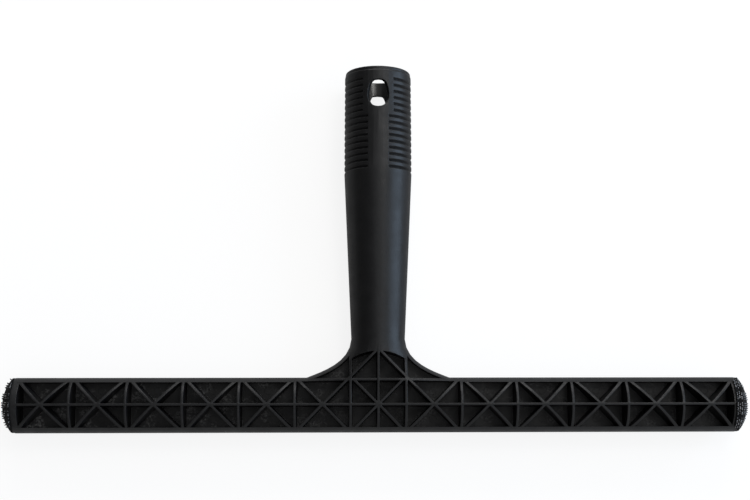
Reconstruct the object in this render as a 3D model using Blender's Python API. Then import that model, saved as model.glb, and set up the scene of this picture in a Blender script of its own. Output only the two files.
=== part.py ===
"""Washer-sleeve T-bar for window cleaning.

One black moulding carries everything: a round bar cored out on both faces into a
lattice of ribs, a gusset, and a tapered hollow handle that a pole plugs into. A hook
pad on each domed end of the bar grips the fabric sleeve.

The moulding is drawn with the bar along X, the handle along +Y and the faces toward
+Z and -Z. The empty at_rest lays it on its back, on the bar and the grip's shoulder.
"""

import math

import bmesh
import bpy
from mathutils import Vector

MM = 0.001

# Bar
BAR_LENGTH = 336.8 * MM
BAR_RADIUS = 12.85 * MM
END_WALL = 3.3 * MM
END_DOME = 4.7 * MM

# Rib lattice, the same on both faces
CELL_COUNT = 13
END_MARGIN = 1.1 * MM
RIB = 1.15 * MM
WEB = 1.5 * MM
RAIL = 2.4 * MM
DRAFT = math.tan(math.radians(1.0))

# Gusset between bar and handle
GUSSET_TOP = 30.9 * MM
GUSSET_FOOT = 33.6 * MM
GUSSET_WALL = 1.9 * MM
GUSSET_DROP = 11.1 * MM
GUSSET_FLARE = 0.7 * MM
GUSSET_RUN = 7.4 * MM
GUSSET_RISE = 2.9 * MM
TIE_RIB_HEIGHT = 11.45 * MM
ROOF_RADIUS = 24.4 * MM

# Handle
HANDLE_LENGTH = 159.5 * MM
HANDLE_BASE_RADIUS = 12.65 * MM
GRIP_RADIUS = 16.1 * MM
SHOULDER = 110.0 * MM
GRIP_TOP = 127.0 * MM
MOUTH_RADIUS = 15.9 * MM
MOUTH_CHAMFER = 0.5 * MM
MOUTH_LIP_RADIUS = 15.6 * MM

# Pole socket and hanging hole
BORE_MOUTH_RADIUS = 13.8 * MM
BORE_FLOOR_RADIUS = 10.4 * MM
BORE_FLOOR = 27.0 * MM
HOLE_FROM_MOUTH = 13.1 * MM
HOLE_LENGTH = 13.2 * MM
HOLE_WIDTH = 8.6 * MM
HOLE_FLARE = 1.3 * MM
HOLE_EGG = 0.14
HOLE_SHOULDERS = 0.55

# Finger grooves on both sides of the grip
GROOVE_COUNT = 15
GROOVE_PITCH = 3.03 * MM
GROOVE_FROM_SHOULDER = 1.1 * MM
GROOVE_WIDTH = 1.1 * MM
GROOVE_DEPTH = 0.5 * MM
PLAIN_GROOVES = 9

# Hook pads
PAD_THICKNESS = 1.6 * MM
PAD_SETBACK = 0.1 * MM
PAD_CLEARANCE = 0.3 * MM

# Facets
FACET = 9
QUARTER_FACETS = 90 // FACET
PLAIN_STRIP = 2 * FACET
HOLE_STRIP = 3 * FACET
GUSSET_STEPS = 8
WALL_STEPS = 10
DOME_STEPS = 4
HOLE_POINTS = 24
ROOF_STEP = 8
MERGE = 0.001 * MM
CUT_PAST = 1.5 * MM
SHARP = math.radians(25)

# Worked out from the sizes above
BAR_END = BAR_LENGTH / 2
CELL_PITCH = (BAR_LENGTH - 2 * END_MARGIN) / CELL_COUNT
CUT_DEPTH = BAR_RADIUS - WEB / 2
ROOT_DRAFT = DRAFT * CUT_DEPTH
RIB_ROOT = RIB / 2 + ROOT_DRAFT
RAIL_REACH = BAR_RADIUS - RAIL - ROOT_DRAFT
DOME_RADIUS = (BAR_RADIUS**2 + END_DOME**2) / (2 * END_DOME)
DOME_CENTRE = BAR_END + END_DOME - DOME_RADIUS
REST_TILT = math.atan((GRIP_RADIUS - BAR_RADIUS) / SHOULDER)


def clear_scene():
    for leftover in list(bpy.data.objects):
        bpy.data.objects.remove(leftover, do_unlink=True)


def make_material(name, colour, roughness):
    material = bpy.data.materials.new(name)
    material.use_nodes = True
    shader = material.node_tree.nodes["Principled BSDF"]
    shader.inputs["Base Color"].default_value = (*colour, 1.0)
    shader.inputs["Roughness"].default_value = roughness
    shader.inputs["Metallic"].default_value = 0.0
    material.diffuse_color = (*colour, 1.0)
    return material


def make_object(name, bm, parent):
    mesh = bpy.data.meshes.new(name)
    bm.to_mesh(mesh)
    bm.free()
    mesh.shade_smooth()
    mesh.set_sharp_from_angle(angle=SHARP)
    obj = bpy.data.objects.new(name, mesh)
    obj.parent = parent
    bpy.context.collection.objects.link(obj)
    return obj


def make_cutter(name, bm, parent, mirror_axes):
    bmesh.ops.recalc_face_normals(bm, faces=bm.faces)
    cutter = make_object(name, bm, parent)
    cutter.hide_render = True
    cutter.display_type = "WIRE"
    if any(mirror_axes):
        copies = cutter.modifiers.new("copies", "MIRROR")
        copies.use_axis = mirror_axes
        copies.use_mirror_merge = False
    return cutter


def cut(target, cutter):
    removal = target.modifiers.new(cutter.name, "BOOLEAN")
    removal.operation = "DIFFERENCE"
    removal.solver = "EXACT"
    removal.object = cutter


def loft(bm, rings):
    """A closed solid through rings of points, with a face over the first and the last."""
    rows = [[bm.verts.new(point) for point in ring] for ring in rings]
    for row, following in zip(rows, rows[1:]):
        for k in range(len(row)):
            after = (k + 1) % len(row)
            bm.faces.new((row[k], row[after], following[after], following[k]))
    bm.faces.new(rows[0])
    bm.faces.new(rows[-1])


# The outer skin: a quarter round that follows the outline of the T


def handle_radius(y):
    """Outer radius of the handle at a height above the bar's axis."""
    profile = (
        (GUSSET_TOP, HANDLE_BASE_RADIUS),
        (SHOULDER, GRIP_RADIUS),
        (GRIP_TOP, GRIP_RADIUS),
        (HANDLE_LENGTH - MOUTH_CHAMFER, MOUTH_RADIUS),
        (HANDLE_LENGTH, MOUTH_LIP_RADIUS),
    )
    for (low, radius), (high, next_radius) in zip(profile, profile[1:]):
        if y <= high:
            return radius + (next_radius - radius) * (y - low) / (high - low)
    return MOUTH_LIP_RADIUS


def gusset_edge(t):
    """Point and inward normal of the gusset's concave outline, from handle to bar."""
    start = Vector((HANDLE_BASE_RADIUS, GUSSET_TOP))
    end = Vector((GUSSET_FOOT, BAR_RADIUS))
    pull_down = start + Vector((GUSSET_FLARE, -GUSSET_DROP))
    pull_in = end + Vector((-GUSSET_RUN, GUSSET_RISE))
    s = 1 - t
    point = s**3 * start + 3 * s * s * t * pull_down + 3 * s * t * t * pull_in + t**3 * end
    along = s * s * (pull_down - start) + 2 * s * t * (pull_in - pull_down) + t * t * (end - pull_in)
    along.normalize()
    return point, Vector((along.y, -along.x))


def quarter_round(rim, inward, radius):
    """Points of the skin from the outline, at mid-thickness, up to its crest."""
    points = []
    for k in range(QUARTER_FACETS + 1):
        angle = math.radians(k * FACET)
        place = rim + inward * radius * (1 - math.cos(angle))
        points.append(Vector((place.x, place.y, radius * math.sin(angle))))
    return points


def dome_profile():
    """(x, radius) from the bar's rim to the tip of its domed end."""
    rim_angle = math.asin(BAR_RADIUS / DOME_RADIUS)
    profile = []
    for k in range(DOME_STEPS + 1):
        angle = rim_angle * (1 - k / DOME_STEPS)
        profile.append((DOME_CENTRE + DOME_RADIUS * math.cos(angle), DOME_RADIUS * math.sin(angle)))
    return profile


def skin_sections():
    """Sections down the handle, round the gusset, out along the bar and back under it."""
    left, down, up = Vector((-1, 0)), Vector((0, -1)), Vector((0, 1))
    sections = []
    for y in (HANDLE_LENGTH, HANDLE_LENGTH - MOUTH_CHAMFER, GRIP_TOP, SHOULDER, GUSSET_TOP):
        radius = handle_radius(y)
        sections.append(quarter_round(Vector((radius, y)), left, radius))
    crest_from = len(sections) - 1
    for k in range(1, GUSSET_STEPS):
        t = k / GUSSET_STEPS
        rim, inward = gusset_edge(t)
        radius = HANDLE_BASE_RADIUS + (BAR_RADIUS - HANDLE_BASE_RADIUS) * t
        sections.append(quarter_round(rim, inward, radius))
    sections.append(quarter_round(Vector((GUSSET_FOOT, BAR_RADIUS)), down, BAR_RADIUS))
    crest_to = len(sections)
    dome = dome_profile()
    sections += [quarter_round(Vector((x, radius)), down, radius) for x, radius in dome]
    sections += [quarter_round(Vector((x, -radius)), up, radius) for x, radius in reversed(dome[:-1])]
    sections += [quarter_round(Vector((x, -BAR_RADIUS)), up, BAR_RADIUS) for x in (GUSSET_FOOT, 0.0)]
    crest = [section[-1] for section in sections[crest_from:crest_to]]
    return sections, crest


def make_skin():
    """A quarter of the T's outer surface, which two mirrors complete."""
    sections, crest = skin_sections()
    bm = bmesh.new()
    rows = [[bm.verts.new(point) for point in section] for section in sections]
    for row, following in zip(rows, rows[1:]):
        for k in range(QUARTER_FACETS):
            bm.faces.new((row[k], row[k + 1], following[k + 1], following[k]))
    plateau = [Vector((0, 0, BAR_RADIUS)), *reversed(crest)]
    bm.faces.new([bm.verts.new(point) for point in plateau])
    mouth = [Vector((0, HANDLE_LENGTH, 0)), *reversed(sections[0])]
    bm.faces.new([bm.verts.new(point) for point in mouth])
    bmesh.ops.remove_doubles(bm, verts=bm.verts, dist=MERGE)
    return bm


# The pockets between the ribs, as drafted prisms in one quarter of the T


def clip(outline, point, inward):
    """The part of an outline on the inward side of the line through a point."""
    kept = []
    for start, end in zip(outline, outline[1:] + outline[:1]):
        here = (start - point).dot(inward)
        there = (end - point).dot(inward)
        if here >= 0:
            kept.append(start)
        if here * there < 0:
            kept.append(start.lerp(end, here / (here - there)))
    return kept


def rectangle(left, right, bottom, top):
    return [Vector(corner) for corner in ((left, bottom), (right, bottom), (right, top), (left, top))]


def beside_rib(outline, through, away):
    """Cuts an outline back from the rib through a point, on the side that away points to."""
    away = away.normalized()
    return clip(outline, through + away * RIB_ROOT, away)


def grown(outline, distance):
    """An outline, listed anticlockwise, with each edge moved outward."""
    moved = []
    for k, here in enumerate(outline):
        before = (here - outline[k - 1]).normalized()
        after = (outline[(k + 1) % len(outline)] - here).normalized()
        outward = Vector((before.y, -before.x)) + Vector((after.y, -after.x))
        moved.append(here + outward * (2 * distance / outward.length_squared))
    return moved


def cell_pockets(centre, left, right, reach):
    """Outlines between one cell's ribs above the bar's axis: the rails, the upright ribs and an X."""
    middle = Vector((centre, 0))
    room = rectangle(left, right, RIB_ROOT, reach)
    outer = beside_rib(room, middle, Vector((1, -1)))
    inner = beside_rib(room, middle, Vector((-1, -1)))
    crown = beside_rib(beside_rib(room, middle, Vector((-1, 1))), middle, Vector((1, 1)))
    return [outer, inner, crown]


def bar_pockets():
    pockets = []
    for cell in range(CELL_COUNT // 2 + 1):
        centre = cell * CELL_PITCH
        left = max(centre - CELL_PITCH / 2, 0.0) + RIB_ROOT
        right = min(centre + CELL_PITCH / 2 - RIB_ROOT, BAR_END - END_WALL - ROOT_DRAFT)
        reach = TIE_RIB_HEIGHT - RIB_ROOT if centre < GUSSET_FOOT else RAIL_REACH
        pockets += cell_pockets(centre, left, right, reach)
        for pocket in cell_pockets(centre, left, right, RAIL_REACH):
            pockets.append([Vector((corner.x, -corner.y)) for corner in reversed(pocket)])
    return pockets


def gusset_pockets():
    """Outlines above the tie rib, which carries the bar's rail across the gusset."""
    wall = []
    for k in range(WALL_STEPS + 1):
        point, inward = gusset_edge(k / WALL_STEPS)
        wall.append(point + inward * (GUSSET_WALL + ROOT_DRAFT))
    room = [Vector((0, 0)), Vector((wall[-1].x, 0)), *reversed(wall), Vector((0, wall[0].y))]
    room = beside_rib(room, Vector((0, TIE_RIB_HEIGHT)), Vector((0, 1)))
    upright = Vector((CELL_PITCH / 2, 0))
    brace = Vector((CELL_PITCH, 0))
    wing = beside_rib(beside_rib(room, upright, Vector((1, 0))), brace, Vector((1, 1)))
    inside = beside_rib(beside_rib(room, upright, Vector((-1, 0))), Vector((0, 0)), Vector((1, 0)))
    for angle in range(0, 90, ROOF_STEP):
        outward = Vector((math.sin(math.radians(angle)), math.cos(math.radians(angle))))
        inside = clip(inside, outward * ROOF_RADIUS, -outward)
    above_brace = beside_rib(inside, brace, Vector((1, 1)))
    below_brace = beside_rib(inside, brace, Vector((-1, -1)))
    return [wing, above_brace, below_brace]


def make_pockets():
    bm = bmesh.new()
    top = BAR_RADIUS + CUT_PAST
    for outline in bar_pockets() + gusset_pockets():
        if len(outline) < 3:
            continue
        mouth = grown(outline, DRAFT * (top - WEB / 2))
        loft(bm, [[(p.x, p.y, WEB / 2) for p in outline], [(p.x, p.y, top) for p in mouth]])
    return bm


# The pole socket, the hanging hole and the finger grooves


def around_handle(radius, y, degrees):
    """A point round the handle's axis, with the angle taken from the front toward +X."""
    angle = math.radians(degrees)
    return Vector((radius * math.sin(angle), y, radius * math.cos(angle)))


def make_bore():
    taper = (BORE_MOUTH_RADIUS - BORE_FLOOR_RADIUS) / (HANDLE_LENGTH - BORE_FLOOR)
    past_radius = BORE_MOUTH_RADIUS + taper * CUT_PAST
    ends = ((BORE_FLOOR_RADIUS, BORE_FLOOR), (past_radius, HANDLE_LENGTH + CUT_PAST))
    bm = bmesh.new()
    loft(bm, [[around_handle(radius, y, a) for a in range(0, 360, FACET)] for radius, y in ends])
    return bm


def hole_outline(width, height):
    """An egg with square shoulders toward the mouth, at a height in front of the handle's axis."""
    outline = []
    for k in range(HOLE_POINTS):
        angle = math.tau * k / HOLE_POINTS
        across, along = math.sin(angle), math.cos(angle)
        fullness = HOLE_SHOULDERS if along > 0 else 1.0
        x = width / 2 * math.copysign(abs(across) ** fullness, across) * (1 - HOLE_EGG * along)
        y = HANDLE_LENGTH - HOLE_FROM_MOUTH + HOLE_LENGTH / 2 * along
        outline.append((x, y, height))
    return outline


def make_hole():
    """Both walls of the handle cut through, with sides that flare out through each wall."""
    slope = HOLE_FLARE / (MOUTH_RADIUS - BORE_MOUTH_RADIUS)
    past = GRIP_RADIUS + CUT_PAST
    past_width = HOLE_WIDTH + 2 * slope * (past - BORE_MOUTH_RADIUS)
    sizes = (
        (past_width, -past),
        (HOLE_WIDTH, -BORE_MOUTH_RADIUS),
        (HOLE_WIDTH, BORE_MOUTH_RADIUS),
        (past_width, past),
    )
    bm = bmesh.new()
    loft(bm, [hole_outline(width, height) for width, height in sizes])
    return bm


def make_grooves():
    """V grooves round one side of the grip, which leave a plain strip down its front and back."""
    bm = bmesh.new()
    for groove in range(GROOVE_COUNT):
        y = SHOULDER + GROOVE_FROM_SHOULDER + groove * GROOVE_PITCH
        strip = PLAIN_STRIP if groove < PLAIN_GROOVES else HOLE_STRIP
        past = handle_radius(y) + CUT_PAST
        flare = GROOVE_WIDTH / 2 * (GROOVE_DEPTH + CUT_PAST) / GROOVE_DEPTH
        wedge = ((handle_radius(y) - GROOVE_DEPTH, y), (past, y - flare), (past, y + flare))
        angles = range(strip, 180 - strip + 1, FACET)
        loft(bm, [[around_handle(radius, place, a) for radius, place in wedge] for a in angles])
    return bm


def make_t_bar(parent, material):
    t_bar = make_object("t_bar", make_skin(), parent)
    t_bar.data.materials.append(material)
    whole = t_bar.modifiers.new("whole", "MIRROR")
    whole.use_axis = (True, False, True)
    whole.merge_threshold = MERGE
    cut(t_bar, make_cutter("rib_pockets", make_pockets(), parent, (True, False, True)))
    cut(t_bar, make_cutter("pole_bore", make_bore(), parent, (False, False, False)))
    cut(t_bar, make_cutter("hanging_hole", make_hole(), parent, (False, False, False)))
    cut(t_bar, make_cutter("finger_grooves", make_grooves(), parent, (True, False, False)))


# The hook pads


def make_pad():
    """A domed disc of hook tape, revolved about the bar's axis."""
    radius = BAR_RADIUS - PAD_SETBACK
    rim_angle = math.asin(radius / DOME_RADIUS)
    steps = [rim_angle * k / DOME_STEPS for k in range(DOME_STEPS + 1)]
    cap = [(DOME_CENTRE + DOME_RADIUS * math.cos(a), DOME_RADIUS * math.sin(a)) for a in steps]
    inside = [Vector((x + PAD_CLEARANCE, 0, r)) for x, r in cap]
    outside = [Vector((x + PAD_CLEARANCE + PAD_THICKNESS, 0, r)) for x, r in reversed(cap)]
    bm = bmesh.new()
    points = [bm.verts.new(point) for point in inside + outside]
    edges = [bm.edges.new(pair) for pair in zip(points, points[1:])]
    bmesh.ops.spin(
        bm,
        geom=points + edges,
        cent=(0, 0, 0),
        axis=(1, 0, 0),
        angle=math.tau,
        steps=4 * QUARTER_FACETS,
        use_merge=True,
    )
    bmesh.ops.remove_doubles(bm, verts=bm.verts, dist=MERGE)
    bmesh.ops.recalc_face_normals(bm, faces=bm.faces)
    return bm


def make_pads(parent, material):
    right = make_object("hook_pad_right", make_pad(), parent)
    right.data.materials.append(material)
    left = bpy.data.objects.new("hook_pad_left", right.data)
    left.parent = parent
    left.rotation_euler.z = math.pi
    bpy.context.collection.objects.link(left)


def lay_on_back():
    """The empty that puts the origin under the middle of the part, on the surface it lies on."""
    rest = bpy.data.objects.new("at_rest", None)
    rest.rotation_euler.x = REST_TILT
    mouth_reach = HANDLE_LENGTH * math.cos(REST_TILT) + MOUTH_LIP_RADIUS * math.sin(REST_TILT)
    bar_reach = BAR_RADIUS * math.cos(REST_TILT)
    rest.location = (0, (bar_reach - mouth_reach) / 2, bar_reach)
    bpy.context.collection.objects.link(rest)
    return rest


clear_scene()
at_rest = lay_on_back()
make_t_bar(at_rest, make_material("black_moulded_plastic", (0.022, 0.022, 0.024), 0.42))
make_pads(at_rest, make_material("black_hook_tape", (0.03, 0.03, 0.033), 0.7))
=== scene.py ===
# %% [markdown]
# A T-bar for washing windows, in one black moulding, with a pad of hook tape on each end.
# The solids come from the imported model. They are exact, but bare: every edge is knife-sharp
# and the pads are smooth discs. This script dresses them. It softens the moulding's edges,
# gives the pads their hooks, mixes the plastic and the nylon, and sets up the studio.

# %% Load the solids
import math
import random

import bmesh
import bpy
from mathutils import Euler, Matrix, Vector


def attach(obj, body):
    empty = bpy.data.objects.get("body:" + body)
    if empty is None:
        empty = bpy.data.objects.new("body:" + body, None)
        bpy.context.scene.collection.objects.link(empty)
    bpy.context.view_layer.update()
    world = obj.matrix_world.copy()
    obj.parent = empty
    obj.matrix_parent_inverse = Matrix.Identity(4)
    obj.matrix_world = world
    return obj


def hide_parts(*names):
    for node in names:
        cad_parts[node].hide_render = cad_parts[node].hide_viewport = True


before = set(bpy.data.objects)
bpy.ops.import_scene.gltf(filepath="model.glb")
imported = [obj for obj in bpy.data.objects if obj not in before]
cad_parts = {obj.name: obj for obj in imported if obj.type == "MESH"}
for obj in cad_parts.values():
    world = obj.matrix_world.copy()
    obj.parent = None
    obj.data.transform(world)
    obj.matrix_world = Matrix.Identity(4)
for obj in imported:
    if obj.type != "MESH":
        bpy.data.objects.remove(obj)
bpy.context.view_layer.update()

MM = 0.001
print("solids:", sorted(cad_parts))

# %% [markdown]
# The moulding was drawn square: bar along X, handle along +Y, front face toward +Z. On the
# floor it leans a little, because the grip is thicker than the bar. Modelling is easier in
# the square position, so each piece is made there and laid down at the end with this matrix.

# %% How the part lies on the floor
BAR_RADIUS = 12.85 * MM
GRIP_RADIUS = 16.1 * MM
SHOULDER = 110.0 * MM
HANDLE_LENGTH = 159.5 * MM
MOUTH_LIP_RADIUS = 15.6 * MM
LEAN = math.atan((GRIP_RADIUS - BAR_RADIUS) / SHOULDER)
BAR_HEIGHT = BAR_RADIUS * math.cos(LEAN)
MOUTH_REACH = HANDLE_LENGTH * math.cos(LEAN) + MOUTH_LIP_RADIUS * math.sin(LEAN)
BAR_PLACE = Matrix.Translation((0, (BAR_HEIGHT - MOUTH_REACH) / 2, BAR_HEIGHT))
LAID = BAR_PLACE @ Matrix.Rotation(LEAN, 4, "X")
print("lean in degrees:", round(math.degrees(LEAN), 3))

# %% [markdown]
# The camera looks straight down at the part, a little from the bar's side. Its place comes
# from the photograph: the spacing of the ribs, the outlines and the two rims of the handle
# fix where it stood. It is given in the square position too, so it is laid down as well.

# %% The camera
IMAGE_WIDTH = 750
IMAGE_HEIGHT = 500
FOCAL_PIXELS = 1248.6
CENTRE_PIXEL = (401.5, 291.1)
SENSOR_WIDTH = 36
CAMERA_PLACE = Vector((-8.15, -18.59, 588.47)) * MM
CAMERA_TURN = Euler((math.radians(7.0223), math.radians(-1.8591), math.radians(-0.1631)))

camera_data = bpy.data.cameras.new("camera")
camera_data.sensor_width = SENSOR_WIDTH
camera_data.lens = SENSOR_WIDTH * FOCAL_PIXELS / IMAGE_WIDTH
camera_data.shift_x = (IMAGE_WIDTH / 2 - CENTRE_PIXEL[0]) / IMAGE_WIDTH
camera_data.shift_y = (CENTRE_PIXEL[1] - IMAGE_HEIGHT / 2) / IMAGE_WIDTH
camera_data.clip_start = 0.01
camera_data.clip_end = 20
camera = bpy.data.objects.new("camera", camera_data)
camera_pose = Matrix.Translation(CAMERA_PLACE) @ CAMERA_TURN.to_matrix().to_4x4()
camera.matrix_world = LAID @ camera_pose
bpy.context.scene.collection.objects.link(camera)
bpy.context.scene.camera = camera
print("lens:", round(camera_data.lens, 1), "mm")

# %% [markdown]
# The studio is a pale floor under a pale sky. The photograph's background is pure white. If
# lamps made it white, they would grey the black plastic too, so the floor adds a glow that
# the camera sees in full and reflections see only weakly. What light it gets from the lamps
# comes on top, and that part is what the object's shadow takes away. The sky is brighter on
# the right than on the left, as beside a window, which gives the round handle its shading.

# %% Floor and sky
FLOOR_SIZE = 6.0
FLOOR_GAP = 0.2 * MM
FLOOR_GLOW = 0.85
MIRRORED_GLOW = 0.21
FLOOR_COLOUR = (0.24, 0.24, 0.24, 1)
SKY_COLOUR = (0.985, 0.99, 1.0, 1)
SKY_TURN = (-0.55, 0.3)
SKY_LEFT = 0.10
SKY_RIGHT = 0.60
SKY_SEEN = 1.0


def node(tree, kind, **settings):
    """A new node in a material, a world or a group, with its settings."""
    made = tree.nodes.new(kind)
    for name, value in settings.items():
        setattr(made, name, value)
    return made


def spread(tree, value, given, wanted=(0.0, 1.0), shape="LINEAR"):
    """A Map Range node that takes the given range to the wanted one, and its result."""
    made = node(tree, "ShaderNodeMapRange", interpolation_type=shape)
    made.inputs["From Min"].default_value, made.inputs["From Max"].default_value = given
    made.inputs["To Min"].default_value, made.inputs["To Max"].default_value = wanted
    tree.links.new(value, made.inputs["Value"])
    return made.outputs[0]


def seen_glow(tree):
    """The glow that the camera sees, the weaker one in reflections, and none for other rays."""
    path = node(tree, "ShaderNodeLightPath")
    total = None
    shares = (
        ("Is Camera Ray", FLOOR_GLOW),
        ("Is Glossy Ray", MIRRORED_GLOW),
        ("Is Transmission Ray", FLOOR_GLOW),
    )
    for name, share in shares:
        weighted = node(tree, "ShaderNodeMath", operation="MULTIPLY_ADD")
        tree.links.new(path.outputs[name], weighted.inputs[0])
        weighted.inputs[1].default_value = share
        weighted.inputs[2].default_value = 0.0
        if total:
            tree.links.new(total, weighted.inputs[2])
        total = weighted.outputs[0]
    return total


def make_floor_material():
    material = bpy.data.materials.new("pale_floor")
    material.use_nodes = True
    tree = material.node_tree
    tree.nodes.clear()
    paint = node(tree, "ShaderNodeBsdfDiffuse")
    paint.inputs["Color"].default_value = FLOOR_COLOUR
    glow = node(tree, "ShaderNodeEmission")
    tree.links.new(seen_glow(tree), glow.inputs["Strength"])
    both = node(tree, "ShaderNodeAddShader")
    out = node(tree, "ShaderNodeOutputMaterial")
    tree.links.new(paint.outputs[0], both.inputs[0])
    tree.links.new(glow.outputs[0], both.inputs[1])
    tree.links.new(both.outputs[0], out.inputs["Surface"])
    return material


def make_sky():
    world = bpy.data.worlds.new("sky")
    world.use_nodes = True
    tree = world.node_tree
    background = tree.nodes["Background"]
    background.inputs["Color"].default_value = SKY_COLOUR
    direction = node(tree, "ShaderNodeSeparateXYZ")
    tree.links.new(node(tree, "ShaderNodeTexCoord").outputs["Generated"], direction.inputs[0])
    light = spread(tree, direction.outputs["X"], SKY_TURN, (SKY_LEFT, SKY_RIGHT), "SMOOTHSTEP")
    seen = node(tree, "ShaderNodeMix")
    path = node(tree, "ShaderNodeLightPath")
    tree.links.new(path.outputs["Is Camera Ray"], seen.inputs["Factor"])
    tree.links.new(light, seen.inputs["A"])
    seen.inputs["B"].default_value = SKY_SEEN
    tree.links.new(seen.outputs[0], background.inputs["Strength"])
    bpy.context.scene.world = world


bpy.ops.object.select_all(action="DESELECT")
bpy.ops.mesh.primitive_plane_add(size=FLOOR_SIZE, location=(0, 0, -FLOOR_GAP))
floor = bpy.context.object
floor.name = "floor"
floor.data.materials.append(make_floor_material())
make_sky()
print("floor:", FLOOR_SIZE, "m")

# %% [markdown]
# Three soft lamps. A small one stands high, where a mirror inside the handle's hole would
# show it, and draws the bright streak on the socket's polished wall. A large cool one stands
# low on the right and gives the handle its sheen. One beyond the handle's mouth, also low,
# lights the bar's upper rail. Nothing hangs straight above, so the front faces stay dark.

# %% The lamps
LAMPS = (
    ("lamp_high", (0.38, 0.46, 1.20), 0.30, 1.8, (1.0, 0.99, 0.96)),
    ("lamp_right", (1.05, 0.15, 0.34), 0.9, 7.0, (0.55, 0.75, 1.0)),
    ("lamp_far", (0.10, 1.05, 0.40), 0.8, 4.5, (1.0, 0.99, 0.98)),
)
for name, place, size, power, colour in LAMPS:
    lamp_data = bpy.data.lights.new(name, "AREA")
    lamp_data.shape = "SQUARE"
    lamp_data.size = size
    lamp_data.energy = power
    lamp_data.color = colour
    lamp = bpy.data.objects.new(name, lamp_data)
    lamp.location = place
    lamp.rotation_euler = (-Vector(place)).to_track_quat("-Z", "Y").to_euler()
    bpy.context.scene.collection.objects.link(lamp)
print("lamps:", len(LAMPS))

# %% [markdown]
# Blender's modelling tools act on whatever is selected, and the loader leaves all the solids
# selected. These helpers keep that in hand. The first selects a single object. The second
# picks vertices, edges or faces of the mesh that is open for editing, by a test of their
# place or direction. The third moves an object and puts the move into its mesh.

# %% Helpers for selecting
SELECT_MODES = {"verts": "VERT", "edges": "EDGE", "faces": "FACE"}


def select_only(obj):
    bpy.ops.object.select_all(action="DESELECT")
    obj.select_set(True)
    bpy.context.view_layer.objects.active = obj


def pick(kind, test):
    """In edit mode, selects the verts, edges or faces that pass the test, and counts them."""
    bpy.ops.mesh.select_mode(type=SELECT_MODES[kind])
    bpy.ops.mesh.select_all(action="DESELECT")
    mesh = bpy.context.edit_object.data
    found = [item for item in getattr(bmesh.from_edit_mesh(mesh), kind) if test(item)]
    for item in found:
        item.select_set(True)
    bmesh.update_edit_mesh(mesh)
    return len(found)


def place_by(obj, matrix):
    """Moves an object by a matrix and applies it, so that the place is in the mesh."""
    select_only(obj)
    obj.matrix_world = matrix
    bpy.ops.object.transform_apply(location=True, rotation=True, scale=True)


# %% [markdown]
# The moulding. No edge of a real moulding is sharp: the mould rounds it and use rubs it, and
# those small rounds are what catches the light. The exact solid already has every rib, so a
# copy of it is welded, and only its mouth, its finger grooves and its edges are worked on.
# Flat neighbours are dissolved and cut anew into well-shaped triangles, because slivers
# would fold over under the bevel that follows.

# %% Weld a copy of the moulding
WELD = 0.002 * MM
FLAT = math.radians(0.5)

moulding = bpy.data.objects.new("moulded_t_bar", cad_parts["t_bar"].data.copy())
bpy.context.scene.collection.objects.link(moulding)
place_by(moulding, LAID.inverted())
bpy.ops.mesh.customdata_custom_splitnormals_clear()
bpy.ops.object.mode_set(mode="EDIT")
bpy.ops.mesh.select_all(action="SELECT")
bpy.ops.mesh.remove_doubles(threshold=WELD)
bpy.ops.mesh.dissolve_limited(angle_limit=FLAT)
bpy.ops.mesh.quads_convert_to_tris(ngon_method="BEAUTY")
bpy.ops.object.mode_set(mode="OBJECT")
print("welded faces:", len(moulding.data.polygons))

# %% [markdown]
# In the photograph a fine dark line runs just below the mouth. It is read as a step, where
# the mould's core plate met its halves. The outer wall is cut across at the step with two
# bisects, close together, and the ring of vertices between rim and step is drawn in by a
# little over a quarter of a millimetre. That it is drawn in is a guess: the photograph's
# outline stays straight there.

# %% The step below the mouth
STEP_BELOW_MOUTH = 1.7 * MM
STEP_WIDTH = 0.35 * MM
STEP_SCALE = 0.982
RING_SLACK = 0.02 * MM
WALL_MIDDLE = 14.8 * MM


def from_axis(vertex):
    """Distance from the handle's axis, in the square position."""
    return math.hypot(vertex.co.x, vertex.co.z)


def outside_near_mouth(face):
    return all(from_axis(v) > WALL_MIDDLE and v.co.y > SHOULDER for v in face.verts)


select_only(moulding)
bpy.ops.object.mode_set(mode="EDIT")
for below in (STEP_BELOW_MOUTH, STEP_BELOW_MOUTH + STEP_WIDTH):
    pick("faces", outside_near_mouth)
    bpy.ops.mesh.bisect(plane_co=(0, HANDLE_LENGTH - below, 0), plane_no=(0, 1, 0))
ring_from = HANDLE_LENGTH - STEP_BELOW_MOUTH - RING_SLACK
step_ring = pick("verts", lambda v: v.co.y > ring_from and from_axis(v) > WALL_MIDDLE)
bpy.ops.transform.resize(value=(STEP_SCALE, 1, STEP_SCALE), center_override=(0, HANDLE_LENGTH, 0))
bpy.ops.object.mode_set(mode="OBJECT")
print("vertices drawn in:", step_ring)

# %% [markdown]
# The finger grooves. In the photograph they are dark and nearly half as wide as their pitch.
# The solid's V grooves are a little narrow for that, so each one is opened up: its bottom
# edge is drawn in toward the handle's axis and its two lips are moved apart along the handle.
# First the grip's outer wall is cut across between the grooves, because long thin faces would
# carry the tilt of the hole's rounded edge down the whole plain strip.

# %% Open up the finger grooves
GROOVE_COUNT = 15
GROOVE_PITCH = 3.03 * MM
FIRST_GROOVE = SHOULDER + 1.1 * MM
LIP_FROM_MIDDLE = (0.4 * MM, 0.7 * MM)
LIP_SHIFT = 0.2 * MM
BOTTOM_RADII = (15.1 * MM, 15.72 * MM)
BOTTOM_SCALE = 0.974
HOLE_KEPT = 4.5 * MM


def nearest_groove(y):
    """The middle of the groove that is nearest to a place along the handle."""
    number = min(max(round((y - FIRST_GROOVE) / GROOVE_PITCH), 0), GROOVE_COUNT - 1)
    return FIRST_GROOVE + number * GROOVE_PITCH


def on_grip(face):
    return all(from_axis(v) > WALL_MIDDLE and v.co.y > SHOULDER - MM for v in face.verts)


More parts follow.
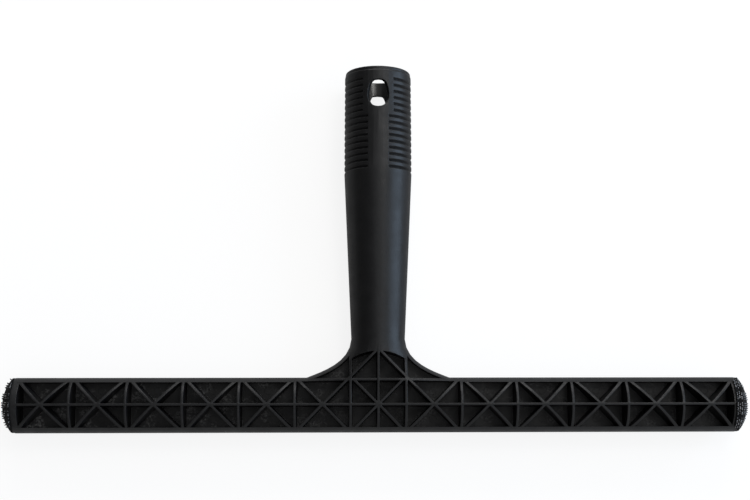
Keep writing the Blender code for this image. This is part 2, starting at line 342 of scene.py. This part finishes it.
def is_bottom(vertex):
    from_middle = abs(vertex.co.y - nearest_groove(vertex.co.y))
    inside = BOTTOM_RADII[0] < from_axis(vertex) < BOTTOM_RADII[1]
    return inside and abs(vertex.co.x) > HOLE_KEPT and from_middle < LIP_FROM_MIDDLE[0]


def is_lip(vertex, side):
    from_middle = (vertex.co.y - nearest_groove(vertex.co.y)) * side
    on_surface = from_axis(vertex) > BOTTOM_RADII[1] and abs(vertex.co.x) > HOLE_KEPT
    return on_surface and LIP_FROM_MIDDLE[0] < from_middle < LIP_FROM_MIDDLE[1]


bpy.ops.object.mode_set(mode="EDIT")
for number in range(GROOVE_COUNT):
    pick("faces", on_grip)
    crown = FIRST_GROOVE + (number + 0.5) * GROOVE_PITCH
    bpy.ops.mesh.bisect(plane_co=(0, crown, 0), plane_no=(0, 1, 0))
bottoms = pick("verts", is_bottom)
bpy.ops.transform.resize(value=(BOTTOM_SCALE, 1, BOTTOM_SCALE), center_override=(0, 0, 0))
lips = 0
for side in (-1, 1):
    lips += pick("verts", lambda v: is_lip(v, side))
    bpy.ops.transform.translate(value=(0, side * LIP_SHIFT, 0))
bpy.ops.object.mode_set(mode="OBJECT")
print("groove vertices moved:", bottoms, "at the bottoms,", lips, "at the lips")

# %% [markdown]
# Now the rounds. Every edge sharper than the facets of the round surfaces gets a small
# bevel in two steps. The clamp is off, because one short edge would shrink all the rounds.
# Smooth shading by angle and weighted normals then leave the large faces flat and let the
# rounds alone turn the light.

# %% Round the edges
EDGE_ROUND = 0.22 * MM
SHARP = math.radians(28)
SMOOTH_BELOW = math.radians(35)

bpy.ops.object.mode_set(mode="EDIT")
bpy.ops.mesh.select_mode(type="EDGE")
bpy.ops.mesh.select_all(action="DESELECT")
bpy.ops.mesh.edges_select_sharp(sharpness=SHARP)
bpy.ops.mesh.bevel(offset=EDGE_ROUND, segments=2, affect="EDGES", clamp_overlap=False)
bpy.ops.object.mode_set(mode="OBJECT")
bpy.ops.object.shade_smooth_by_angle(angle=SMOOTH_BELOW)
weighted = moulding.modifiers.new("weighted_normals", "WEIGHTED_NORMAL")
weighted.keep_sharp = True
bpy.ops.object.modifier_apply(modifier=weighted.name)
print("rounded faces:", len(moulding.data.polygons))

# %% [markdown]
# The plastic. Close up, moulded black plastic isn't one black: it has a fine satin grain, and
# slow changes of gloss where the melt cooled unevenly. Both are noise, a fine one and a coarse
# one. Like the effects that follow, they are a node group that puts out heights or masks, so
# that other black plastic could use them with other values.

# %% Group: grain and mottle
def new_group(name, inputs, outputs):
    """A shader node group with float inputs, given with their defaults, and its outputs."""
    group = bpy.data.node_groups.new(name, "ShaderNodeTree")
    group.interface.new_socket("Vector", in_out="INPUT", socket_type="NodeSocketVector")
    for label, default in inputs:
        socket = group.interface.new_socket(label, in_out="INPUT", socket_type="NodeSocketFloat")
        socket.default_value = default
    for label in outputs:
        group.interface.new_socket(label, in_out="OUTPUT", socket_type="NodeSocketFloat")
    return group, node(group, "NodeGroupInput"), node(group, "NodeGroupOutput")


def maths(tree, operation, *values):
    """A Math node on sockets or plain numbers, and its result."""
    made = node(tree, "ShaderNodeMath", operation=operation)
    for socket, value in zip(made.inputs, values):
        if isinstance(value, (int, float)):
            socket.default_value = value
        else:
            tree.links.new(value, socket)
    return made.outputs[0]


def noise(tree, vector, scale, detail, roughness):
    """Noise on a vector. The scale is a number or a socket."""
    made = node(tree, "ShaderNodeTexNoise")
    tree.links.new(vector, made.inputs["Vector"])
    if isinstance(scale, (int, float)):
        made.inputs["Scale"].default_value = scale
    else:
        tree.links.new(scale, made.inputs["Scale"])
    made.inputs["Detail"].default_value = detail
    made.inputs["Roughness"].default_value = roughness
    return made.outputs["Fac"]


def make_grain_group():
    inputs = (("Grain Scale", 3.0), ("Grain", 0.01), ("Mottle Scale", 0.16), ("Mottle", 0.03))
    group, given, result = new_group("grain_and_mottle", inputs, ("Height", "Gloss"))
    vector = given.outputs["Vector"]
    grain = noise(group, vector, given.outputs["Grain Scale"], 3.0, 0.6)
    mottle = noise(group, vector, given.outputs["Mottle Scale"], 4.0, 0.55)
    fine = maths(group, "MULTIPLY", grain, given.outputs["Grain"])
    coarse = maths(group, "MULTIPLY", mottle, given.outputs["Mottle"])
    group.links.new(maths(group, "ADD", fine, coarse), result.inputs["Height"])
    group.links.new(mottle, result.inputs["Gloss"])
    return group


grain_and_mottle = make_grain_group()
print("group:", grain_and_mottle.name)

# %% [markdown]
# The mould leaves its own marks: a hair line where its halves met, and faint discs where pins
# pushed the part out. They are too fine to see in the photograph, but such parts usually
# have them.
# Both are worked out from the place alone, and the disc repeats from cell to cell.

# %% Group: moulding marks
CELL_PITCH_MM = 25.738
PIN_RADIUS_MM = 1.7
PIN_OFFSET_MM = 6.6
FLOOR_BELOW_MM = 1.6
RIM_STEEPNESS = 8.0


def make_marks_group():
    """A parting line on the plane Z = 0, and a pin disc in the upper and lower cell of each X."""
    inputs = (("Line Width", 0.14), ("Line Height", 0.05), ("Pin Height", 0.04))
    group, given, result = new_group("moulding_marks", inputs, ("Height",))
    place = node(group, "ShaderNodeSeparateXYZ")
    group.links.new(given.outputs["Vector"], place.inputs[0])
    x, y, z = place.outputs
    off_plane = maths(group, "ABSOLUTE", z)
    inside = maths(group, "DIVIDE", off_plane, given.outputs["Line Width"])
    ridge = maths(group, "MAXIMUM", maths(group, "SUBTRACT", 1.0, inside), 0.0)
    line = maths(group, "MULTIPLY", ridge, given.outputs["Line Height"])
    across = maths(group, "WRAP", x, CELL_PITCH_MM / 2, -CELL_PITCH_MM / 2)
    along = maths(group, "SUBTRACT", maths(group, "ABSOLUTE", y), PIN_OFFSET_MM)
    squares = [maths(group, "POWER", value, 2.0) for value in (across, along)]
    from_pin = maths(group, "SQRT", maths(group, "ADD", *squares))
    rim = maths(group, "SUBTRACT", PIN_RADIUS_MM, from_pin)
    steep = maths(group, "MULTIPLY", rim, RIM_STEEPNESS)
    disc = maths(group, "MINIMUM", maths(group, "MAXIMUM", steep, 0.0), 1.0)
    low = maths(group, "LESS_THAN", off_plane, FLOOR_BELOW_MM)
    pin = maths(group, "MULTIPLY", maths(group, "MULTIPLY", disc, low), given.outputs["Pin Height"])
    group.links.new(maths(group, "ADD", line, pin), result.inputs["Height"])
    return group


moulding_marks = make_marks_group()
print("group:", moulding_marks.name)

# %% [markdown]
# Use rubs the outer edges grey, never evenly. Pointiness tells how far a place sticks out from
# the surface around it, and noise breaks the mask up.

# %% Group: rubbed edges
POINTED = (0.52, 0.62)
BROKEN_UP = (0.35, 0.6)


def make_wear_group():
    """1 on the outer rounds, broken up by noise, and 0 elsewhere."""
    inputs = (("Amount", 1.0), ("Break Up Scale", 0.5))
    group, given, result = new_group("rubbed_edges", inputs, ("Mask",))
    pointed = node(group, "ShaderNodeNewGeometry").outputs["Pointiness"]
    edge = spread(group, pointed, POINTED)
    patches = noise(group, given.outputs["Vector"], given.outputs["Break Up Scale"], 4.0, 0.6)
    worn = maths(group, "MULTIPLY", edge, spread(group, patches, BROKEN_UP))
    group.links.new(maths(group, "MULTIPLY", worn, given.outputs["Amount"]), result.inputs["Mask"])
    return group


rubbed_edges = make_wear_group()
print("group:", rubbed_edges.name)

# %% [markdown]
# In the photograph the floors of the cells carry lighter, neutral patches, strongest toward
# the left end. What they are can't be told from it, so they are painted only as lighter
# patches on the floors, with no cause given. Coarse noise places the patches, and finer noise
# breaks them into specks.

# %% Group: lighter patches on the cell floors
LOOKS_UP = 0.8
PATCHES = (0.51, 0.62)
SPECKS = (0.46, 0.6)


def make_floor_patch_group():
    """Specks in patches on faces that look up, near the plane Z = 0, and 0 elsewhere."""
    inputs = (("Amount", 1.0), ("Depth", 2.0), ("Patch Scale", 0.13), ("Speck Scale", 0.9))
    group, given, result = new_group("lighter_floor_patches", inputs, ("Mask",))
    vector = given.outputs["Vector"]
    place = node(group, "ShaderNodeSeparateXYZ")
    group.links.new(vector, place.inputs[0])
    off_plane = maths(group, "ABSOLUTE", place.outputs["Z"])
    deep = maths(group, "LESS_THAN", off_plane, given.outputs["Depth"])
    facing = node(group, "ShaderNodeSeparateXYZ")
    group.links.new(node(group, "ShaderNodeTexCoord").outputs["Normal"], facing.inputs[0])
    lying = maths(group, "GREATER_THAN", facing.outputs["Z"], LOOKS_UP)
    coarse = noise(group, vector, given.outputs["Patch Scale"], 2.0, 0.5)
    fine = noise(group, vector, given.outputs["Speck Scale"], 5.0, 0.7)
    patchy_specks = maths(group, "MULTIPLY", spread(group, coarse, PATCHES), spread(group, fine, SPECKS))
    on_floor = maths(group, "MULTIPLY", deep, lying)
    shown = maths(group, "MULTIPLY", patchy_specks, on_floor)
    group.links.new(maths(group, "MULTIPLY", shown, given.outputs["Amount"]), result.inputs["Mask"])
    return group


lighter_floor_patches = make_floor_patch_group()
print("group:", lighter_floor_patches.name)

# %% [markdown]
# The groups work in millimetres in the square position, so a Mapping node turns the object's
# coordinates back from the floor. The base colour is nearly black, and the gloss, the satin
# roughness and the bump carry the look. Inside the pole socket the same plastic is smooth:
# there it took its surface from a polished core, which left only fine lines along its draw.
# So the socket's faces get a second material, found by place and by a normal that points to
# the axis.

# %% The black plastic
def square_millimetres(tree):
    """Object coordinates, turned back to the square position and scaled to millimetres."""
    coordinates = node(tree, "ShaderNodeTexCoord")
    mapping = node(tree, "ShaderNodeMapping")
    back = LAID.inverted()
    mapping.inputs["Rotation"].default_value = back.to_euler()
    mapping.inputs["Location"].default_value = back.translation / MM
    mapping.inputs["Scale"].default_value = (1 / MM, 1 / MM, 1 / MM)
    tree.links.new(coordinates.outputs["Object"], mapping.inputs["Vector"])
    return mapping.outputs[0]


def use_group(tree, group, vector, **values):
    """A group node on a vector, with values given by input name."""
    made = node(tree, "ShaderNodeGroup", node_tree=group)
    tree.links.new(vector, made.inputs["Vector"])
    for label, value in values.items():
        made.inputs[label.replace("_", " ")].default_value = value
    return made


def mix_colour(tree, mask, low, high):
    """Two colours mixed by a mask. Each colour is three numbers or a socket."""
    made = node(tree, "ShaderNodeMix", data_type="RGBA")
    tree.links.new(mask, made.inputs["Factor"])
    for socket, colour in zip(made.inputs[6:8], (low, high)):
        if isinstance(colour, tuple):
            socket.default_value = (*colour, 1)
        else:
            tree.links.new(colour, socket)
    return made.outputs[2]


PLASTIC_BLACK = (0.0085, 0.0085, 0.0092)
RUBBED_GREY = (0.045, 0.045, 0.047)
# Lighter patches painted on the cell floors, stronger toward the left end; what they are is not
# known.
FLOOR_PATCH_GREY = (0.17, 0.17, 0.17)
FLOOR_PATCH_ENDS_MM = (-100.0, 0.0)
FLOOR_PATCH_AMOUNTS = (1.0, 0.35)
PLASTIC_SPECULAR = 0.38
MOTTLE_RANGE = (0.3, 0.7)
SATIN_ROUGHNESS = (0.34, 0.48)
SOCKET_BLACK = (0.009, 0.009, 0.0095, 1)
SOCKET_ROUGHNESS = 0.2
SOCKET_DRAW = (1, 0.02, 1)
SOCKET_RADIUS = 14.1 * MM
SOCKET_FLOOR = HANDLE_LENGTH - 132.4 * MM
TOWARD_AXIS = -0.8


def make_plastic():
    material = bpy.data.materials.new("black_moulded_plastic")
    material.use_nodes = True
    tree = material.node_tree
    shader = tree.nodes["Principled BSDF"]
    shader.inputs["Specular IOR Level"].default_value = PLASTIC_SPECULAR
    vector = square_millimetres(tree)
    grain = use_group(tree, grain_and_mottle, vector, Grain=0.012, Mottle=0.12)
    marks = use_group(tree, moulding_marks, vector)
    wear = use_group(tree, rubbed_edges, vector, Amount=0.8)
    height = maths(tree, "ADD", grain.outputs["Height"], marks.outputs["Height"])
    bump = node(tree, "ShaderNodeBump")
    bump.inputs["Distance"].default_value = MM
    bump.inputs["Strength"].default_value = 1.0
    tree.links.new(height, bump.inputs["Height"])
    tree.links.new(bump.outputs[0], shader.inputs["Normal"])
    along = node(tree, "ShaderNodeSeparateXYZ")
    tree.links.new(vector, along.inputs[0])
    floor_patch = use_group(tree, lighter_floor_patches, vector)
    amount = spread(tree, along.outputs["X"], FLOOR_PATCH_ENDS_MM, FLOOR_PATCH_AMOUNTS)
    tree.links.new(amount, floor_patch.inputs["Amount"])
    rubbed = mix_colour(tree, wear.outputs["Mask"], PLASTIC_BLACK, RUBBED_GREY)
    colour = mix_colour(tree, floor_patch.outputs["Mask"], rubbed, FLOOR_PATCH_GREY)
    tree.links.new(colour, shader.inputs["Base Color"])
    satin = spread(tree, grain.outputs["Gloss"], MOTTLE_RANGE, SATIN_ROUGHNESS)
    tree.links.new(satin, shader.inputs["Roughness"])
    return material


def make_socket_plastic():
    material = bpy.data.materials.new("black_polished_socket")
    material.use_nodes = True
    tree = material.node_tree
    shader = tree.nodes["Principled BSDF"]
    shader.inputs["Base Color"].default_value = SOCKET_BLACK
    drawn = node(tree, "ShaderNodeVectorMath", operation="MULTIPLY")
    drawn.inputs[1].default_value = SOCKET_DRAW
    tree.links.new(square_millimetres(tree), drawn.inputs[0])
    lines = use_group(
        tree, grain_and_mottle, drawn.outputs[0], Grain=0.006, Mottle_Scale=0.5, Mottle=0.02
    )
    bump = node(tree, "ShaderNodeBump")
    bump.inputs["Distance"].default_value = MM
    tree.links.new(lines.outputs["Height"], bump.inputs["Height"])
    tree.links.new(bump.outputs[0], shader.inputs["Normal"])
    shader.inputs["Roughness"].default_value = SOCKET_ROUGHNESS
    return material


def in_socket(face):
    x, y, z = face.calc_center_median()
    across = math.hypot(x, z)
    if y < SOCKET_FLOOR or not MM < across < SOCKET_RADIUS:
        return False
    return (face.normal.x * x + face.normal.z * z) / across < TOWARD_AXIS


moulding.data.materials.clear()
moulding.data.materials.append(make_plastic())
moulding.data.materials.append(make_socket_plastic())
select_only(moulding)
bpy.ops.object.mode_set(mode="EDIT")
socket_faces = pick("faces", in_socket)
moulding.active_material_index = 1
bpy.ops.object.material_slot_assign()
bpy.ops.object.mode_set(mode="OBJECT")
print("socket faces:", socket_faces)
place_by(moulding, LAID)
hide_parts("t_bar")
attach(moulding, "root")
print("moulding:", len(moulding.data.polygons), "faces")

# %% [markdown]
# Hook tape is two things: a dull woven base, and hooks of black nylon, shinier than the
# plastic, with lint that breaks them up into light and dark specks. Reading the pads as hook
# tape is a guess from their rough outline. The right pad is lighter than the left one in the
# photograph, because the light falls from the right, so its nylon is given more and paler
# lint: that extra lint is painted light, a lit copy of the left pad's nylon. The base gets
# one material and the hooks another, so that each finished pad carries two.

# %% The base's weave and the hooks' nylon
WEAVE_PITCH_MM = 0.55
THREAD_HEIGHT = 0.2 * MM
BASE_BLACKS = ((0.004, 0.004, 0.0045), (0.012, 0.012, 0.013))
NYLON_BLACK = (0.014, 0.014, 0.015)
LEFT_LINT = ((0.44, 0.62), (0.34, 0.34, 0.345))
# The right pad's paler and denser lint is painted light, a lit copy of the left pad's nylon.
RIGHT_LINT_AND_PAINTED_LIGHT = ((0.36, 0.62), (0.50, 0.50, 0.51))


def make_base_weave():
    material = bpy.data.materials.new("black_tape_base")
    material.use_nodes = True
    tree = material.node_tree
    shader = tree.nodes["Principled BSDF"]
    vector = square_millimetres(tree)
    threads = node(tree, "ShaderNodeTexWave", bands_direction="Y", wave_type="BANDS")
    threads.inputs["Scale"].default_value = 1 / WEAVE_PITCH_MM
    threads.inputs["Distortion"].default_value = 1.5
    tree.links.new(vector, threads.inputs["Vector"])
    grain = use_group(
        tree, grain_and_mottle, vector, Grain_Scale=5.0, Grain=0.05, Mottle_Scale=1.2, Mottle=0.03
    )
    bump = node(tree, "ShaderNodeBump")
    bump.inputs["Distance"].default_value = THREAD_HEIGHT
    height = maths(tree, "ADD", threads.outputs["Fac"], grain.outputs["Height"])
    tree.links.new(height, bump.inputs["Height"])
    tree.links.new(bump.outputs[0], shader.inputs["Normal"])
    colour = mix_colour(tree, grain.outputs["Gloss"], *BASE_BLACKS)
    tree.links.new(colour, shader.inputs["Base Color"])
    shader.inputs["Specular IOR Level"].default_value = 0.2
    shader.inputs["Roughness"].default_value = 0.7
    return material


def make_nylon(name, lint_and_light_range, lint_and_light_colour):
    material = bpy.data.materials.new(name)
    material.use_nodes = True
    tree = material.node_tree
    shader = tree.nodes["Principled BSDF"]
    vector = square_millimetres(tree)
    grain = use_group(
        tree, grain_and_mottle, vector, Grain_Scale=6.0, Grain=0.02, Mottle_Scale=0.9, Mottle=0.05
    )
    bump = node(tree, "ShaderNodeBump")
    bump.inputs["Distance"].default_value = MM
    tree.links.new(grain.outputs["Height"], bump.inputs["Height"])
    tree.links.new(bump.outputs[0], shader.inputs["Normal"])
    # Lint specks. On the right pad their extra share is painted light.
    lint = spread(tree, grain.outputs["Gloss"], lint_and_light_range)
    colour = mix_colour(tree, lint, NYLON_BLACK, lint_and_light_colour)
    tree.links.new(colour, shader.inputs["Base Color"])
    shader.inputs["Specular IOR Level"].default_value = 0.5
    shader.inputs["Roughness"].default_value = 0.32
    return material


base_weave = make_base_weave()
left_nylon = make_nylon("black_nylon_hooks", *LEFT_LINT)
right_nylon_painted_lit = make_nylon("nylon_hooks_painted_lit", *RIGHT_LINT_AND_PAINTED_LIGHT)
print("materials:", base_weave.name, left_nylon.name, right_nylon_painted_lit.name)

# %% [markdown]
# The pads. Each end of the bar carries hook tape, which grips the loops inside the washing
# sleeve. From the front the tape shows as a rough dome, with gaps between its bands of hooks.
# On the front it is folded over the end's edge, by half a millimetre on the left and by over
# two on the right. The backing is a slice of a sphere, made from a ball primitive by one
# bisect. Its open rim is shaped and extruded along the bar for the fold, and a solidify gives
# it the tape's thickness.

# %% The backing of a pad
BAR_END = 168.4 * MM
END_DOME = 4.7 * MM
DOME_RADIUS = (BAR_RADIUS**2 + END_DOME**2) / (2 * END_DOME)
ADHESIVE = 0.3 * MM
PAD_CENTRE = BAR_END + END_DOME - DOME_RADIUS + ADHESIVE
BACKING = 0.62 * MM
RIM_RADIUS = 12.1 * MM
FOLD_RADIUS = 13.02 * MM
LEAST_FOLD = 0.12 * MM
RAGGED = 0.12 * MM
RIM_RAGGED_SHARE = 0.3
RIM_STEPS = (0.2, 0.45)
FOLD_STEPS = (0.45, 0.62)


def smooth_step(low, high, value):
    share = min(max((value - low) / (high - low), 0.0), 1.0)
    return share * share * (3 - 2 * share)


def rim_radius(front):
    """The rim's radius. Front is 1 at the front of the bar, 0 at its side and -1 at its back."""
    return RIM_RADIUS + (FOLD_RADIUS - RIM_RADIUS) * smooth_step(*RIM_STEPS, front)


def rim_x(radius):
    return PAD_CENTRE + math.sqrt(DOME_RADIUS**2 - radius**2)


def make_backing(name, fold, seed):
    """The tape's base on the right end of the bar, in the square position."""
    bpy.ops.object.select_all(action="DESELECT")
    bpy.ops.mesh.primitive_uv_sphere_add(
        segments=96,
        ring_count=64,
        radius=DOME_RADIUS,
        location=(PAD_CENTRE, 0, 0),
        rotation=(0, math.pi / 2, 0),
    )
    backing = bpy.context.object
    backing.name = name
    bpy.ops.object.transform_apply(location=True, rotation=True, scale=True)
    bpy.ops.object.mode_set(mode="EDIT")
    bpy.ops.mesh.select_all(action="SELECT")
    bpy.ops.mesh.bisect(plane_co=(rim_x(RIM_RADIUS), 0, 0), plane_no=(1, 0, 0), clear_inner=True)
    chance = random.Random(seed)
    pick("verts", lambda v: v.is_boundary)
    bm = bmesh.from_edit_mesh(backing.data)
    for vertex in bm.verts:
        if vertex.select:
            across = math.hypot(vertex.co.y, vertex.co.z)
            radius = rim_radius(vertex.co.z / across)
            scale = (radius + chance.uniform(-1, 1) * RAGGED * RIM_RAGGED_SHARE) / across
            vertex.co = (rim_x(radius), vertex.co.y * scale, vertex.co.z * scale)
    bmesh.update_edit_mesh(backing.data)
    pick("edges", lambda e: e.is_boundary)
    bpy.ops.mesh.extrude_region_move(TRANSFORM_OT_translate={"value": (-LEAST_FOLD, 0, 0)})
    bm = bmesh.from_edit_mesh(backing.data)
    for vertex in bm.verts:
        if vertex.is_boundary:
            front = vertex.co.z / math.hypot(vertex.co.y, vertex.co.z)
            length = fold + chance.uniform(-1, 1) * RAGGED
            vertex.co.x -= length * smooth_step(*FOLD_STEPS, front)
    bmesh.update_edit_mesh(backing.data)
    bpy.ops.object.mode_set(mode="OBJECT")
    wall = backing.modifiers.new("tape", "SOLIDIFY")
    wall.thickness = BACKING
    wall.offset = 1
    bpy.ops.object.modifier_apply(modifier=wall.name)
    bpy.ops.object.shade_smooth_by_angle(angle=SMOOTH_BELOW)
    backing.data.materials.append(base_weave)
    return backing


LEFT_FOLD = 0.5 * MM
RIGHT_FOLD = 2.4 * MM
right_pad = make_backing("hook_tape_right", RIGHT_FOLD, seed=5)
print("backing faces:", len(right_pad.data.polygons))

# %% [markdown]
# One hook is a bristle of nylon that stands up and bends over. It starts as a circle of six
# points and is extruded along its bend. Each step of the bend has a turn in degrees, a
# length in millimetres and a thinning. The hook is modelled once, at the origin, pointing up.

# %% One hook
HOOK_RADIUS = 0.2 * MM
HOOK_STEPS = (
    (0.0, 0.34, 1.0),
    (22, 0.19, 0.95),
    (42, 0.18, 0.92),
    (52, 0.17, 0.88),
    (48, 0.15, 0.75),
)


def make_hook():
    """A bristle that rises from the origin along Z and bends over toward +X."""
    bpy.ops.object.select_all(action="DESELECT")
    bpy.ops.mesh.primitive_circle_add(vertices=6, radius=HOOK_RADIUS, fill_type="NGON")
    hook = bpy.context.object
    hook.name = "hook"
    bpy.ops.object.mode_set(mode="EDIT")
    bpy.ops.mesh.select_all(action="SELECT")
    heading = 0.0
    place = Vector((0, 0, 0))
    for turn, length, thinning in HOOK_STEPS:
        heading += math.radians(turn)
        move = Vector((math.sin(heading), 0, math.cos(heading))) * length * MM
        bpy.ops.mesh.extrude_region_move(TRANSFORM_OT_translate={"value": move})
        place += move
        bpy.ops.transform.rotate(value=-math.radians(turn), orient_axis="Y", center_override=place)
        bpy.ops.transform.resize(value=(thinning,) * 3, center_override=place)
    bpy.ops.mesh.select_all(action="SELECT")
    bpy.ops.mesh.normals_make_consistent(inside=False)
    bpy.ops.object.mode_set(mode="OBJECT")
    bpy.ops.object.shade_smooth_by_angle(angle=math.radians(60))
    hook.data.materials.append(left_nylon)
    return hook


hook = make_hook()
print("hook:", [round(d / MM, 2) for d in hook.dimensions], "mm,", len(hook.data.polygons), "faces")

# %% [markdown]
# The hooks stand in rows across the tape. Each copy has its own mesh, a small turn and a
# slightly different height, and all of them are joined to the backing. The two pads differ,
# as they do in the photograph. The left one has narrower bands, is folded over less, and its
# outline stays full out to the rim, so its hooks get taller there. The right one's outline
# falls away, so its hooks get lower. Away from the handle and at the back, the outermost
# hooks are kept short, because nothing may stick out of the solids' box. The limit counts a
# bristle's whole length, though it is bent over and stands lower than that.

# %% Cover the pads with hooks
ROW_SPACING = 0.95 * MM
HOOK_SPACING = 0.98 * MM
LEFT_GAPS = (-10.4, -6.1, -1.9, 1.9, 6.6, 10.8)
RIGHT_GAPS = (-11.4, -5.6, 0.9, 6.3)
GAP_HALF = 0.65
SUNK = 0.8 * BACKING
FOLD_HOOK_SIZE = 0.7
FIRST_FOLD_ROW = 0.15
FOLD_MARGIN = 0.1 * MM
TURN_SPREAD = 0.5
HOOK_SIZES = (0.7, 1.1)
SMALLEST_HOOK = 0.15
HOOK_LENGTH = 1.03 * MM
HOOK_OVERHANG = 0.45 * MM
RIM_MARGIN = 0.3 * MM
ROUND_THE_BAR = 40
FRONT_HALF = 1.3


def size_in_the_box(foot, normal):
    """The largest size at which a hook stays within the bar's radius."""
    room = BAR_RADIUS - math.hypot(foot.y, foot.z) - HOOK_OVERHANG
    outward = math.hypot(normal.y, normal.z) * HOOK_SIZES[1] * HOOK_LENGTH
    return max(room / outward, SMALLEST_HOOK)


def places_on_dome(gaps, rim_size, handle_side):
    """Foot, normal, row number and size of the hooks on the dome. Handle side is 1 or -1."""
    places = []
    reach = FOLD_RADIUS - RIM_MARGIN
    rows = int(reach / ROW_SPACING)
    for row in range(-rows, rows + 1):
        y = row * ROW_SPACING
        if min(abs(y / MM - gap) for gap in gaps) < GAP_HALF:
            continue
        steps = int(reach / HOOK_SPACING)
        for step in range(-steps, steps + 1):
            z = (step + 0.5 * (row % 2)) * HOOK_SPACING
            across = math.hypot(y, z)
            if across > rim_radius(z / max(across, MM)) - RIM_MARGIN:
                continue
            normal = Vector((math.sqrt(DOME_RADIUS**2 - across**2), y, z)).normalized()
            foot = Vector((PAD_CENTRE, 0, 0)) + normal * (DOME_RADIUS + SUNK)
            size = 1 - (1 - rim_size) * (across / RIM_RADIUS) ** 3
            if y * handle_side < 0 or z < 0:
                size = min(size, size_in_the_box(foot, normal))
            places.append((foot, normal, row, size))
    return places


def places_on_fold(gaps, fold):
    """The same for the hooks on the part of the tape that is folded over the bar's edge."""
    places = []
    start = rim_x(FOLD_RADIUS)
    around = HOOK_SPACING / FOLD_RADIUS
    for row in range(int(fold / ROW_SPACING) + 1):
        x = start - (row + FIRST_FOLD_ROW) * ROW_SPACING
        for step in range(-ROUND_THE_BAR, ROUND_THE_BAR + 1):
            angle = (step + 0.5 * (row % 2)) * around
            y = FOLD_RADIUS * math.sin(angle)
            folded = fold * smooth_step(*FOLD_STEPS, math.cos(angle))
            if abs(angle) > FRONT_HALF or start - folded > x - FOLD_MARGIN:
                continue
            if min(abs(y / MM - gap) for gap in gaps) < GAP_HALF:
                continue
            normal = Vector((0, math.sin(angle), math.cos(angle)))
            foot = Vector((x, 0, 0)) + normal * (FOLD_RADIUS + SUNK)
            places.append((foot, normal, step, FOLD_HOOK_SIZE))
    return places


def cover_with_hooks(backing, places, material, seed):
    chance = random.Random(seed)
    copies = []
    for foot, normal, row, size in places:
        stand = normal.to_track_quat("Z", "Y").to_matrix().to_4x4()
        turn = math.radians(90 if row % 2 else -90) + chance.uniform(-TURN_SPREAD, TURN_SPREAD)
        height = size * chance.uniform(*HOOK_SIZES)
        shape = Matrix.Rotation(turn, 4, "Z") @ Matrix.Diagonal((1, 1, height, 1))
        copy = bpy.data.objects.new("hook_copy", hook.data.copy())
        copy.data.materials[0] = material
        copy.matrix_world = Matrix.Translation(foot) @ stand @ shape
        bpy.context.scene.collection.objects.link(copy)
        copies.append(copy)
    select_only(backing)
    for copy in copies:
        copy.select_set(True)
    bpy.ops.object.join()
    return len(copies)


right_places = places_on_dome(RIGHT_GAPS, rim_size=0.2, handle_side=1)
right_places += places_on_fold(RIGHT_GAPS, RIGHT_FOLD)
left_places = places_on_dome(LEFT_GAPS, rim_size=1.4, handle_side=-1)
left_places += places_on_fold(LEFT_GAPS, LEFT_FOLD)
left_pad = make_backing("hook_tape_left", LEFT_FOLD, seed=11)
print("hooks on the right:", cover_with_hooks(right_pad, right_places, right_nylon_painted_lit, seed=21))
print("hooks on the left:", cover_with_hooks(left_pad, left_places, left_nylon, seed=34))
bpy.data.objects.remove(hook, do_unlink=True)

# %% [markdown]
# Both pads were made on the right end, in the square position. They are laid down with the
# moulding, the left one after half a turn about the handle's middle plane.

# %% Lay the pads down
place_by(right_pad, LAID)
place_by(left_pad, LAID @ Matrix.Rotation(math.pi, 4, "Z"))
for pad, cad_node in ((right_pad, "hook_pad_right"), (left_pad, "hook_pad_left")):
    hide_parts(cad_node)
    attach(pad, "root")
    print(pad.name, len(pad.data.polygons), "faces,", len(pad.material_slots), "materials")

# %% [markdown]
# Last, the view settings. The dressed model must stay inside the solids' box.

# %% Finish
bpy.context.scene.view_settings.view_transform = "Standard"
bpy.context.view_layer.update()
